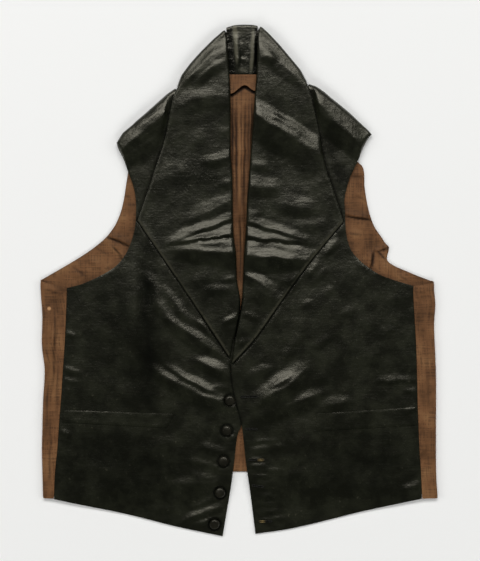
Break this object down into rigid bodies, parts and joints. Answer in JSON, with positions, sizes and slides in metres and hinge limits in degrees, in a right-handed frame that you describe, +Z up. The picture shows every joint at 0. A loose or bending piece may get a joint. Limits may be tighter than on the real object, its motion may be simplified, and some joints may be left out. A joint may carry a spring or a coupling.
{
  "type": "long-collared satin waistcoat, laid flat",
  "caption": "Black satin waistcoat with a long shawl collar, welt pockets, covered buttons and a brown back, laid flat front up.",
  "frame": {"origin": "on the surface that the garment lies on, below the middle of its outline's box", "axes": "+Y up to the neck, +X to the wearer's left front, +Z up from the surface, away from the back panel"},
  "size_m": [0.5039, 0.6488, 0.0144],
  "materials": {
    "satin": "black silk satin, soft sheen",
    "back_cotton": "brown polished cotton, plain weave",
    "button_cover": "black silk satin over a mould"
  },
  "bodies": {
    "root": {"back": "back_cotton", "back_lining": "back_cotton", "neck_facing": "back_cotton", "front_left": "satin", "front_right": "satin", "collar_left": "satin", "collar_right": "satin", "collar_stand": "satin", "pocket_welt_left": "satin", "pocket_welt_right": "satin", "button_1": "button_cover", "button_2": "button_cover", "button_3": "button_cover", "button_4": "button_cover", "button_5": "button_cover"}
  },
  "joints": []
}
